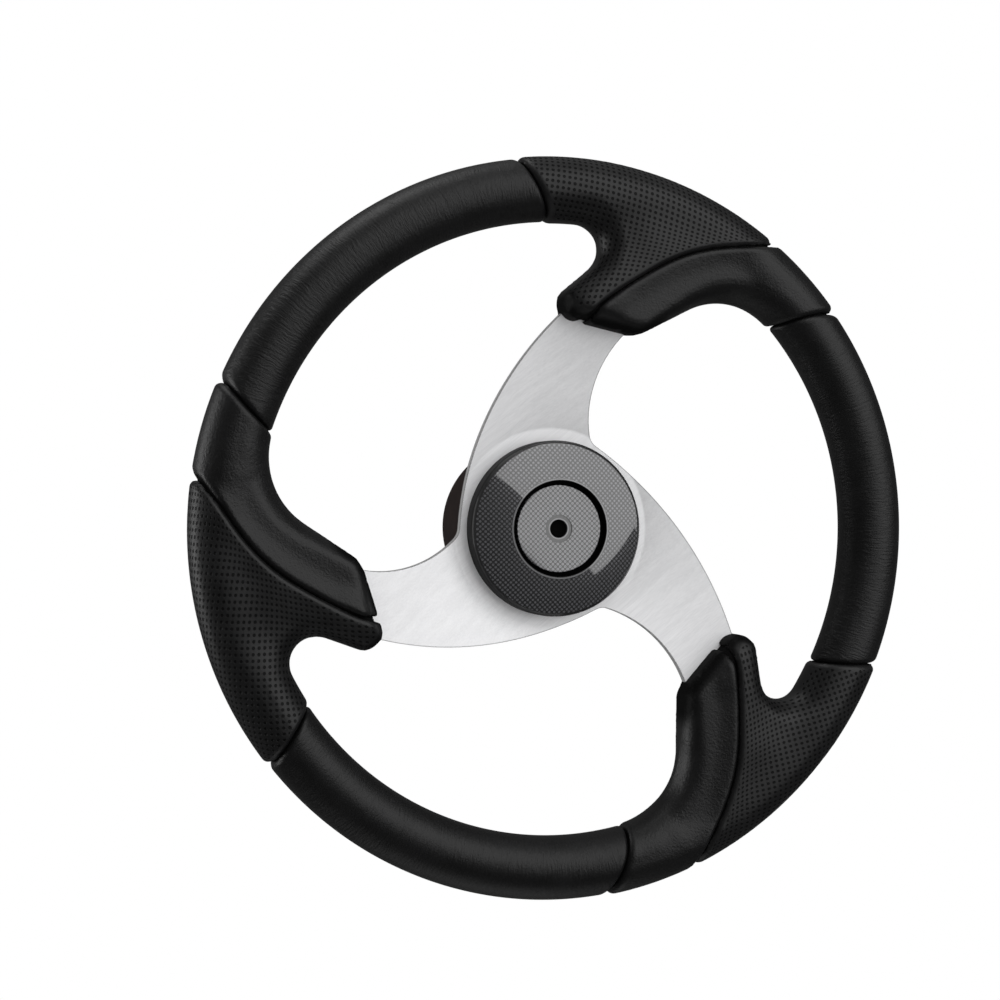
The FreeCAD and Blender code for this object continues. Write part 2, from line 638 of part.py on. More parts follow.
def cap_disc():
    """Glossy disc in the cap's well, with a sunk eye in its middle."""
    eye_y = DISC_FRONT_Y + EYE_SINK
    disc = spun([(EYE_R, DISC_BACK_Y), (EYE_R, eye_y), (EYE_SINK_R, eye_y),
                 (EYE_SINK_R, DISC_FRONT_Y), (DISC_R, DISC_FRONT_Y), (DISC_R, DISC_BACK_Y)])
    return disc.makeFillet(DISC_ROUND, circle_edges(disc, DISC_R, DISC_FRONT_Y))


def main():
    """Build every piece and write it to its own file."""
    os.makedirs("parts", exist_ok=True)
    plate = spoke_plate()
    rod_ring = ring()
    tab = spoke_tab(rod_ring)
    tabs = [turned(tab, index) for index in range(SPOKES)]
    rivet_group = rivets()
    sector_foam = foam_sector()
    foam = foam_tube()
    core = sector_foam.fuse(foam)
    grip = crested(palm_body(0.0))
    panel = perforated_panel(grip, core).cut(plate)
    smooth = smooth_panel(grip, core).cut(plate)
    sleeve = plain_sleeve(foam)
    foam = foam.fuse([turned(sector_foam, index) for index in range(SPOKES)])
    foam = foam.cut([rod_ring, plate, rivet_group] + tabs)
    pieces = {"foam_core": foam, "rim_ring": rod_ring, "spoke_plate": plate, "tab_rivets": rivet_group,
              "boss_cover": boss_cover(), "hub": hub(), "hub_screws": hub_screws(),
              "cap_carrier": cap_carrier(), "centre_cap": centre_cap(), "cap_disc": cap_disc()}
    for index in range(SPOKES):
        pieces["spoke_tab_%d" % (index + 1)] = tabs[index]
        pieces["perforated_panel_%d" % (index + 1)] = turned(panel, index)
        pieces["smooth_panel_%d" % (index + 1)] = turned(smooth, index)
        pieces["plain_sleeve_%d" % (index + 1)] = turned(sleeve, index)
    for name, shape in pieces.items():
        print(name, len(shape.Solids), shape.isValid(), round(shape.Volume))
        shape.exportStep("parts/%s.step" % name)


main()
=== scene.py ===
"""Boat steering wheel: finishes and padded covers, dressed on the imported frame.

Metres, +Z up. The wheel turns about Y, its face looks along -Y, and the origin is the mouth of the
shaft bore. Places on a sector are given in plan, (x, z) about the axis, as on the part's drawing:
a distance inside the middle circle of the rim, in millimetres, and an angle from +X.
"""
import logging
import math
from dataclasses import dataclass
from enum import Enum
from typing import Any, Mapping, Optional, Sequence, Tuple, Union

import bmesh
import bpy
import numpy as np
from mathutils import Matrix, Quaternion, Vector


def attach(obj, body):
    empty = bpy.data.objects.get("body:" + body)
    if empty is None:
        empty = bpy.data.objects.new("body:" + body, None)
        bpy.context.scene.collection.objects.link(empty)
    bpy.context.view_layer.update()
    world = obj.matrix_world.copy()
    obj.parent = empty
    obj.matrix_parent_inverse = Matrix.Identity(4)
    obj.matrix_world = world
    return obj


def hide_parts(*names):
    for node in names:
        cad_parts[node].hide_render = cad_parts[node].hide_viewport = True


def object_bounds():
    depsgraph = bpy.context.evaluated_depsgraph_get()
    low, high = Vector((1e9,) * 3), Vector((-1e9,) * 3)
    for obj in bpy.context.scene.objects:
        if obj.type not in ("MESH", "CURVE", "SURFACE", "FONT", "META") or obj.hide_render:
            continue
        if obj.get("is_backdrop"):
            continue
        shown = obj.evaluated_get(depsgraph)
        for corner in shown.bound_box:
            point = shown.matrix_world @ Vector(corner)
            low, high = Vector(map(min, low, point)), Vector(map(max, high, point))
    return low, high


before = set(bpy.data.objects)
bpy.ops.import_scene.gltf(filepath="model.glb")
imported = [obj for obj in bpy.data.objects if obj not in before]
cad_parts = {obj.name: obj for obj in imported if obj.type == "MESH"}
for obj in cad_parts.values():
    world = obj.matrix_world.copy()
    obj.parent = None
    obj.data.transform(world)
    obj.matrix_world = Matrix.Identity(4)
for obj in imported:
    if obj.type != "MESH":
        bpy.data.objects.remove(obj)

log = logging.getLogger("boat_wheel")

Colour = Tuple[float, float, float]
Place = Tuple[float, float]

MM = 0.001
SECTORS = 3
RIM_R = 160.0
MID_Y = -63.0

SEAM_IN: Tuple[Place, ...] = ((35.0, 88.9), (14.8, 93.0), (-14.4, 97.4), (-31.5, 99.3))
SWOOSH: Tuple[Place, ...] = ((73.0, 90.7), (60.4, 84.8), (53.4, 81.6), (42.8, 76.4), (32.1, 71.8),
                             (21.9, 67.7), (13.0, 63.8), (4.8, 59.8), (-3.5, 55.8), (-14.5, 51.3),
                             (-27.6, 47.0))
SEAM_OUT: Tuple[Place, ...] = ((32.7, 46.3), (14.3, 42.4), (0.0, 40.0), (-14.1, 36.9), (-29.4, 33.5))


class Wire:
    """One output of a shader node, with arithmetic that adds Math nodes."""

    def __init__(self, graph: "Graph", socket: bpy.types.NodeSocket) -> None:
        """Args: graph: the graph it belongs to. socket: the node's output."""
        self.graph = graph
        self.socket = socket

    def math(self, operation: str, *others: "Number") -> "Wire":
        """Math node of this value and others.

        Args:
            operation: Math node operation.
            others: further values or wires, in the node's order.

        Returns:
            The node's output.
        """
        values = dict(enumerate((self,) + others))
        return self.graph.node("ShaderNodeMath", {"operation": operation}, values)

    def __add__(self, other: "Number") -> "Wire":
        """Sum."""
        return self.math("ADD", other)

    def __radd__(self, other: float) -> "Wire":
        """Sum, the other way round."""
        return self.math("ADD", other)

    def __sub__(self, other: "Number") -> "Wire":
        """Difference."""
        return self.math("SUBTRACT", other)

    def __rsub__(self, other: float) -> "Wire":
        """Difference, the other way round."""
        return (self * -1.0).math("ADD", other)

    def __mul__(self, other: "Number") -> "Wire":
        """Product."""
        return self.math("MULTIPLY", other)

    def __rmul__(self, other: float) -> "Wire":
        """Product, the other way round."""
        return self.math("MULTIPLY", other)

    def __truediv__(self, other: "Number") -> "Wire":
        """Quotient."""
        return self.math("DIVIDE", other)

    def part(self) -> "Wire":
        """What is left of the value above its whole number."""
        return self.math("FRACT")

    def whole(self) -> "Wire":
        """The value's whole number."""
        return self.math("FLOOR")

    def hypot(self, other: "Wire") -> "Wire":
        """Length of the pair of values."""
        return (self * self + other * other).math("SQRT")

    def ramp(self, low: float, high: float) -> "Wire":
        """Smooth step.

        Args:
            low: value at which the step is 0.
            high: value at which the step is 1; it may be the smaller one.

        Returns:
            0 to 1, flat outside the two values.
        """
        first, last = (low, high) if low < high else (high, low)
        stops = {"Value": self, "From Min": first, "From Max": last}
        step = self.graph.node("ShaderNodeMapRange", {"interpolation_type": "SMOOTHSTEP"}, stops)
        return step if low < high else 1.0 - step


Number = Union[float, Wire]
Given = Union[float, Sequence[float], Wire]


class Graph:
    """Node tree that is built up by calls."""

    def __init__(self, tree: bpy.types.NodeTree) -> None:
        """Args: tree: the tree to fill, which is emptied first."""
        self.tree = tree
        tree.nodes.clear()

    def node(self, kind: str, settings: Optional[Mapping[str, Any]] = None,
             inputs: Optional[Mapping[Union[str, int], Given]] = None,
             output: Union[str, int] = 0) -> Wire:
        """Any node.

        Args:
            kind: node type.
            settings: the node's own settings; "stops" holds a ramp's (position, colour) pairs.
            inputs: values or wires by input name or number.
            output: name or number of the output that is returned.

        Returns:
            The chosen output.
        """
        made = self.tree.nodes.new(kind)
        for name, value in (settings or {}).items():
            if name == "stops":
                for number, (position, colour) in enumerate(value):
                    elements = made.color_ramp.elements
                    stop = elements[number] if number < 2 else elements.new(position)
                    stop.position = position
                    stop.color = (*colour, 1.0)
            else:
                setattr(made, name, value)
        for name, value in (inputs or {}).items():
            if isinstance(value, Wire):
                self.tree.links.new(value.socket, made.inputs[name])
            elif isinstance(value, tuple) and len(value) == 3 and made.inputs[name].type == "RGBA":
                made.inputs[name].default_value = (*value, 1.0)
            else:
                made.inputs[name].default_value = value
        return Wire(self, made.outputs[output])

    def blend(self, factor: Number, first: Union[Colour, Wire], second: Union[Colour, Wire]) -> Wire:
        """Mix of two colours.

        Args:
            factor: 0 gives the first colour and 1 the second.
            first: colour or wire.
            second: colour or wire.

        Returns:
            The mixed colour.
        """
        return self.node("ShaderNodeMix", {"data_type": "RGBA"}, {0: factor, 6: first, 7: second}, 2)

    def vector(self, x: Number, y: Number, z: Number) -> Wire:
        """Vector of three numbers."""
        return self.node("ShaderNodeCombineXYZ", None, {0: x, 1: y, 2: z})

    def axes(self, vector: Wire) -> Tuple[Wire, Wire, Wire]:
        """The three numbers of a vector."""
        made = self.node("ShaderNodeSeparateXYZ", None, {0: vector})
        outputs = made.socket.node.outputs
        return made, Wire(self, outputs[1]), Wire(self, outputs[2])

    def place(self) -> Tuple[Wire, Wire, Wire]:
        """Object coordinates in millimetres."""
        point = self.node("ShaderNodeTexCoord", None, None, "Object")
        scaled = self.node("ShaderNodeVectorMath", {"operation": "SCALE"}, {0: point, "Scale": 1.0 / MM})
        return self.axes(scaled)

    def noise(self, vector: Wire, scale: float, detail: float = 2.0, roughness: float = 0.5) -> Wire:
        """Noise of a vector.

        Args:
            vector: where it is read.
            scale: cells per unit of the vector.
            detail: octaves.
            roughness: share of the finer octaves.

        Returns:
            0 to 1, around 0.5.
        """
        return self.node("ShaderNodeTexNoise", {"noise_dimensions": "3D"},
                         {"Vector": vector, "Scale": scale, "Detail": detail, "Roughness": roughness})

    def cells(self, vector: Wire, scale: float, feature: str = "F1") -> Wire:
        """Distance in a cell pattern, 0 at a cell's middle, or at its border for DISTANCE_TO_EDGE."""
        return self.node("ShaderNodeTexVoronoi", {"feature": feature}, {"Vector": vector, "Scale": scale},
                         "Distance")

    def bump(self, height: Wire, depth: float, under: Optional[Wire] = None) -> Wire:
        """Bump.

        Args:
            height: 0 to 1.
            depth: millimetres from 0 to 1.
            under: normal that it adds to.

        Returns:
            The normal.
        """
        inputs = {"Height": height, "Distance": depth * MM, "Strength": 1.0}
        if under is not None:
            inputs["Normal"] = under
        return self.node("ShaderNodeBump", None, inputs)

    def shader(self, **inputs: Given) -> Wire:
        """Principled shader, with its inputs named with _ for a space."""
        named = {name.replace("_", " "): value for name, value in inputs.items()}
        return self.node("ShaderNodeBsdfPrincipled", None, named)

    def surface(self, **inputs: Given) -> None:
        """Principled shader on the output."""
        self.finish(self.shader(**inputs))

    def finish(self, shader: Wire) -> None:
        """Material output."""
        output = self.tree.nodes.new("ShaderNodeOutputMaterial")
        self.tree.links.new(shader.socket, output.inputs["Surface"])


def fresh_material(name: str) -> Tuple[bpy.types.Material, Graph]:
    """New material and its empty graph."""
    material = bpy.data.materials.new(name)
    material.use_nodes = True
    return material, Graph(material.node_tree)


class Grain(Enum):
    """Surface of a cover."""

    PERFORATED = "perforated"
    SMOOTH = "smooth"
    CREASED = "creased"


@dataclass(frozen=True)
class CoverLeather:
    """Black leather-look cover: fine pebbled grain, and holes or creases on the piece's own map."""

    name: str
    grain: Grain
    tone: Colour = (0.0012, 0.0012, 0.0013)
    worn: Colour = (0.0025, 0.0025, 0.0028)
    hole: Colour = (0.0008, 0.0008, 0.0008)
    roughness: float = 0.44
    hole_r: float = 0.265        # share of the pitch
    pit_depth: float = 0.7       # how black the holes are
    end_shade: float = 0.85       # how strongly the covers' ends beside the spokes get painted shade, dark and matt
    edge_clear: float = 2.6      # mm from a seam to the first holes

    def material(self) -> bpy.types.Material:
        """Builds the material.

        Returns:
            The material.
        """
        material, graph = fresh_material(self.name)
        x, y, z = graph.place()
        point = graph.vector(x, y, z)
        pebbles = graph.cells(point, 1.0 / 0.85)
        drift = graph.noise(point, 1.0 / 14.0, 3.0)
        fine = graph.noise(point, 1.0 / 0.35, 3.0)
        colour = graph.blend(drift.ramp(0.35, 0.7), self.tone, self.worn)
        rough = self.roughness + (fine - 0.5) * 0.16 + (drift - 0.5) * 0.08
        height = pebbles.ramp(0.15, 0.75) * 0.6 + fine * 0.4
        normal = graph.bump(height, 0.035)
        if self.grain is Grain.CREASED:
            normal = graph.bump(self.creases(graph), 0.34, normal)
        if self.grain is Grain.SMOOTH:
            sway = graph.noise(point, 1.0 / 3.0, 2.0)
            bent = graph.vector(x + sway * 2.2, y * 0.8 + sway * 1.6, z - sway * 2.2)
            cracks = graph.cells(bent, 1.0 / 1.9, "DISTANCE_TO_EDGE").ramp(0.0, 0.5)
            swell = graph.noise(bent, 1.0 / 2.4, 3.0, 0.6)
            normal = graph.bump(cracks * 0.25 + swell * 0.75, 0.2, normal)
        if self.grain is Grain.PERFORATED:
            holes = self.holes(graph)
            normal = graph.bump(1.0 - holes, 0.5, normal)
        leather = graph.shader(Base_Color=colour, Roughness=rough, Normal=normal, Specular_IOR_Level=0.45)
        if self.grain is not Grain.CREASED:
            # Painted shade: where the vertex number from ShapedCovers.build is high, on the covers' ends beside the
            # spokes, the leather is mixed towards the dark matt shader below; the perforated cover's holes use that
            # shader too.
            painted_shade_and_holes = graph.node("ShaderNodeAttribute", {"attribute_name": "darkened"}, None, "Fac") * self.end_shade
            if self.grain is Grain.PERFORATED:
                painted_shade_and_holes = painted_shade_and_holes.math("MAXIMUM", holes * self.pit_depth)
            pit = graph.shader(Base_Color=self.hole, Roughness=0.9, Specular_IOR_Level=0.05)
            leather = graph.node("ShaderNodeMixShader", None, {0: painted_shade_and_holes, 1: leather, 2: pit})
        graph.finish(leather)
        return material

    def holes(self, graph: Graph) -> Wire:
        """Round holes on a square grid, 1 in a hole; the map counts pitches."""
        across, along, _ = graph.axes(graph.node("ShaderNodeUVMap", {"uv_map": "pattern"}))
        off = (across.part() - 0.5).hypot(along.part() - 0.5)
        clear = graph.node("ShaderNodeAttribute", {"attribute_name": "margin"}, None, "Fac")
        return off.ramp(self.hole_r + 0.035, self.hole_r - 0.035) * clear.ramp(self.edge_clear, self.edge_clear + 0.3)

    def creases(self, graph: Graph) -> Wire:
        """Fine creases across the rim; the map is in millimetres, along and round the rim."""
        along, round_, _ = graph.axes(graph.node("ShaderNodeUVMap", {"uv_map": "pattern"}))
        sway = graph.noise(graph.vector(along * 0.12, round_ * 0.12, 0.0), 1.0, 2.0)
        read = graph.vector((along + sway * 3.0) * 0.95, round_ * 0.13, 0.0)
        return graph.noise(read, 1.0, 3.0, 0.62)


@dataclass(frozen=True)
class BrushedMetal:
    """Brushed aluminium: long fine scratches in one direction."""

    name: str
    tone: Colour = (0.84, 0.84, 0.85)
    darkened: Colour = (0.70, 0.70, 0.71)
    # Painted shade: the colour of the plate's side walls.
    wall: Colour = (0.40, 0.40, 0.40)
    # Painted shade: the dark line along the plate's edges.
    edge: Colour = (0.10, 0.10, 0.10)
    edge_shade_width: float = 0.9            # mm from an edge within which painted shade darkens it
    lay: float = 38.0            # degrees of the scratches from +X
    roughness: float = 0.48
    metallic: float = 0.36

    def material(self) -> bpy.types.Material:
        """Builds the material.

        Returns:
            The material.
        """
        material, graph = fresh_material(self.name)
        x, y, z = graph.place()
        cos, sin = math.cos(math.radians(self.lay)), math.sin(math.radians(self.lay))
        along = x * cos + z * sin
        across = z * cos - x * sin
        scratch = graph.noise(graph.vector(along * 0.05, across * 3.2, y * 3.2), 1.0, 4.0, 0.7)
        band = graph.noise(graph.vector(along * 0.02, across * 0.35, y * 0.35), 1.0, 2.0)
        colour = graph.blend((scratch * 0.7 + band * 0.3).ramp(0.3, 0.7), self.darkened, self.tone)
        # Painted shade on the side walls, where the normal turns away from Y.
        facing = graph.axes(graph.node("ShaderNodeTexCoord", None, None, "Normal"))[1].math("ABSOLUTE")
        colour = graph.blend(facing.ramp(0.75, 0.55), colour, self.wall)
        # Painted shade: a dark line along the plate's edges, where the bevelled normal turns from the true one.
        eased = graph.node("ShaderNodeBevel", {"samples": 6}, {"Radius": self.edge_shade_width * MM})
        true = graph.node("ShaderNodeNewGeometry", None, None, "Normal")
        even = graph.node("ShaderNodeVectorMath", {"operation": "DOT_PRODUCT"}, {0: eased, 1: true}, "Value")
        colour = graph.blend(even.ramp(0.985, 0.90), colour, self.edge)
        rough = self.roughness + (scratch - 0.5) * 0.22
        normal = graph.bump(scratch, 0.016)
        graph.surface(Base_Color=colour, Metallic=self.metallic, Roughness=rough, Normal=normal)
        return material


@dataclass(frozen=True)
class WovenFilm:
    """Gloss lacquer over a woven-look film: staggered pale dots on a dark ground."""

    name: str
    ground: Colour = (0.002, 0.002, 0.0026)
    thread: Colour = (0.14, 0.14, 0.15)
    column: float = 1.22         # mm
    row: float = 2.4             # mm
    sheen: float = 0.55          # how metallic the threads are
    inner_r: float = 23.9        # the film lies between these radii, and the rest is plain black
    outer_r: float = 40.6
    pit_r: float = 23.0          # inside this radius it is painted black and matt: painted shade in the well and the eye hole
    coat_r: float = 41.6         # outside this radius the gloss is thin
    side_shade: float = 0.65      # how strongly the side outside coat_r is mixed towards painted shade, dark and matt
    # Painted highlight: pale ring just outside pit_r, on the lip round the cap's well and round the disc's eye hole.
    brim: Colour = (0.13, 0.13, 0.135)
    # Painted shade: the dark matt colour inside pit_r and on the side.
    pit: Colour = (0.0015, 0.0015, 0.0015)
    coat_ior: float = 1.9

    def material(self) -> bpy.types.Material:
        """Builds the material.

        Returns:
            The material.
        """
        material, graph = fresh_material(self.name)
        x, y, z = graph.place()
        column = x * (1.0 / self.column)
        side = (column.whole() * 0.5).part()
        row = z * (1.0 / self.row) + side
        across = (column.part() - 0.5) * 0.9
        along = (row.part() - 0.5) * 1.9
        threads = across.hypot(along).ramp(0.60, 0.25)
        reach = x.hypot(z)
        drift = graph.noise(graph.vector(x, y, z), 1.0 / 9.0, 2.0)
        threads = threads * (0.85 + drift * 0.3) * reach.ramp(self.outer_r, self.outer_r - 0.4)
        threads = threads * reach.ramp(self.inner_r, self.inner_r + 0.3)
        colour = graph.blend(threads, self.ground, self.thread)
        # Painted highlight on the lip just outside pit_r.
        brim = reach.ramp(self.pit_r + 0.1, self.pit_r + 0.3) * reach.ramp(self.pit_r + 0.9, self.pit_r + 0.7)
        colour = graph.blend(brim, colour, self.brim)
        lacquer = reach.ramp(self.pit_r, self.pit_r + 0.4) * (0.1 + reach.ramp(self.coat_r, self.coat_r - 0.5) * 0.9)
        film = graph.shader(Base_Color=colour, Roughness=0.5 - threads * 0.28, Metallic=threads * self.sheen,
                            Coat_Weight=lacquer, Coat_Roughness=0.035, Coat_IOR=self.coat_ior)
        # Painted shade: inside pit_r, and on the side past coat_r, the film is mixed towards a dark matt shader.
        pit = graph.shader(Base_Color=self.pit, Roughness=0.9, Specular_IOR_Level=0.05)
        inside = reach.ramp(self.pit_r, self.pit_r - 0.2)
        painted_shade_and_holes = inside.math("MAXIMUM", reach.ramp(self.coat_r - 0.3, self.coat_r + 0.3) * self.side_shade)
        graph.finish(graph.node("ShaderNodeMixShader", None, {0: painted_shade_and_holes, 1: film, 2: pit}))
        return material


@dataclass(frozen=True)
class Moulding:
    """Moulded or cast matter: a tone, mottling and a fine texture."""

    name: str
    tone: Colour
    shade: Colour
    roughness: float
    metallic: float = 0.0
    texture: float = 0.5         # mm
    depth: float = 0.02          # mm
    gloss: float = 0.5

    def material(self) -> bpy.types.Material:
        """Builds the material.

        Returns:
            The material.
        """
        material, graph = fresh_material(self.name)
        x, y, z = graph.place()
        point = graph.vector(x, y, z)
        mottle = graph.noise(point, 1.0 / 11.0, 3.0)
        fine = graph.noise(point, 1.0 / self.texture, 3.0)
        colour = graph.blend(mottle.ramp(0.3, 0.7), self.tone, self.shade)
        rough = self.roughness + (fine - 0.5) * 0.15 + (mottle - 0.5) * 0.1
        graph.surface(Base_Color=colour, Metallic=self.metallic, Roughness=rough,
                      Normal=graph.bump(fine, self.depth), Specular_IOR_Level=self.gloss)
        return material


def turned_back(points: np.ndarray, index: int) -> np.ndarray:
    """Points of sector number index turned back to the first sector, about Y."""
    angle = math.radians(360.0 / SECTORS * index)
    cos, sin = math.cos(angle), math.sin(angle)
    x, y, z = points.T
    return np.column_stack((x * cos - z * sin, y, x * sin + z * cos))


def seam_run(places: Sequence[Place], count: int = 160) -> np.ndarray:
    """Plan points along a seam.

    The places are joined by cubic Hermite arcs whose slopes are half the step between neighbours.

    Args:
        places: distance inside the rim's middle circle, in mm, and angle in degrees.
        count: number of points.

    Returns:
        Array of (x, z) in mm.
    """
    drop, degrees = np.array(places).T
    angle = np.radians(degrees)
    knots = np.column_stack((np.cos(angle), np.sin(angle))) * (RIM_R - drop)[:, None]
    slopes = np.gradient(knots, axis=0)
    at = np.linspace(0.0, len(knots) - 1.0, count)
    first = np.minimum(at.astype(int), len(knots) - 2)
    t = (at - first)[:, None]
    return (knots[first] * (2 * t**3 - 3 * t**2 + 1) + slopes[first] * (t**3 - 2 * t**2 + t)
            + knots[first + 1] * (3 * t**2 - 2 * t**3) + slopes[first + 1] * (t**3 - t**2))


def distance_to(run: np.ndarray, plan: np.ndarray) -> np.ndarray:
    """Distance in plan of each point from the nearest point of a run."""
    best = np.full(len(plan), np.inf)
    for point in run:
        best = np.minimum(best, np.hypot(plan[:, 0] - point[0], plan[:, 1] - point[1]))
    return best


def step_between(values: np.ndarray, low: float, high: float) -> np.ndarray:
    """Smooth step from 0 at low to 1 at high."""
    share = np.clip((values - low) / (high - low), 0.0, 1.0)
    return share * share * (3.0 - 2.0 * share)


def relaxed(values: np.ndarray, edges: np.ndarray, weights: np.ndarray, passes: int) -> np.ndarray:
    """Numbers on a mesh's vertices, each drawn towards the mean of its neighbours.

    Args:
        values: one number a vertex.
        edges: pairs of vertex numbers.
        weights: 0 keeps a vertex's number, 1 lets it move by 0.6 of the way in a pass.
        passes: how often.

    Returns:
        The new numbers.
    """
    first, second = edges.T
    count = np.bincount(edges.ravel(), minlength=len(values))
    for _ in range(passes):
        total = (np.bincount(first, values[second], len(values))
                 + np.bincount(second, values[first], len(values)))
        values = values + 0.6 * weights * (total / count - values)
    return values


def set_map(mesh: bpy.types.Mesh, pairs: np.ndarray) -> None:
    """Gives each vertex's pair of numbers to the mesh's map "pattern"."""
    corners = np.zeros(len(mesh.loops), np.int32)
    mesh.loops.foreach_get("vertex_index", corners)
    layer = mesh.uv_layers.new(name="pattern")
    layer.data.foreach_set("uv", pairs[corners].astype(np.float32).ravel())


def set_number(mesh: bpy.types.Mesh, name: str, values: np.ndarray) -> None:
    """Gives each vertex a number."""
    layer = mesh.attributes.new(name, "FLOAT", "POINT")
    layer.data.foreach_set("value", values.astype(np.float32))


def shown(name: str, mesh: bpy.types.Mesh, material: bpy.types.Material) -> bpy.types.Object:
    """New object of a mesh, in the scene, with one material."""
    mesh.materials.clear()
    mesh.materials.append(material)
    obj = bpy.data.objects.new(name, mesh)
    bpy.context.scene.collection.objects.link(obj)
    return obj


def vertex_arrays(mesh: bpy.types.Mesh) -> Tuple[np.ndarray, np.ndarray]:
    """Vertex places in millimetres and their normals."""
    places = np.zeros(len(mesh.vertices) * 3, np.float32)
    normals = np.zeros(len(mesh.vertices) * 3, np.float32)
    mesh.vertices.foreach_get("co", places)
    mesh.vertex_normals.foreach_get("vector", normals)
    return places.reshape(-1, 3).astype(float) / MM, normals.reshape(-1, 3).astype(float)


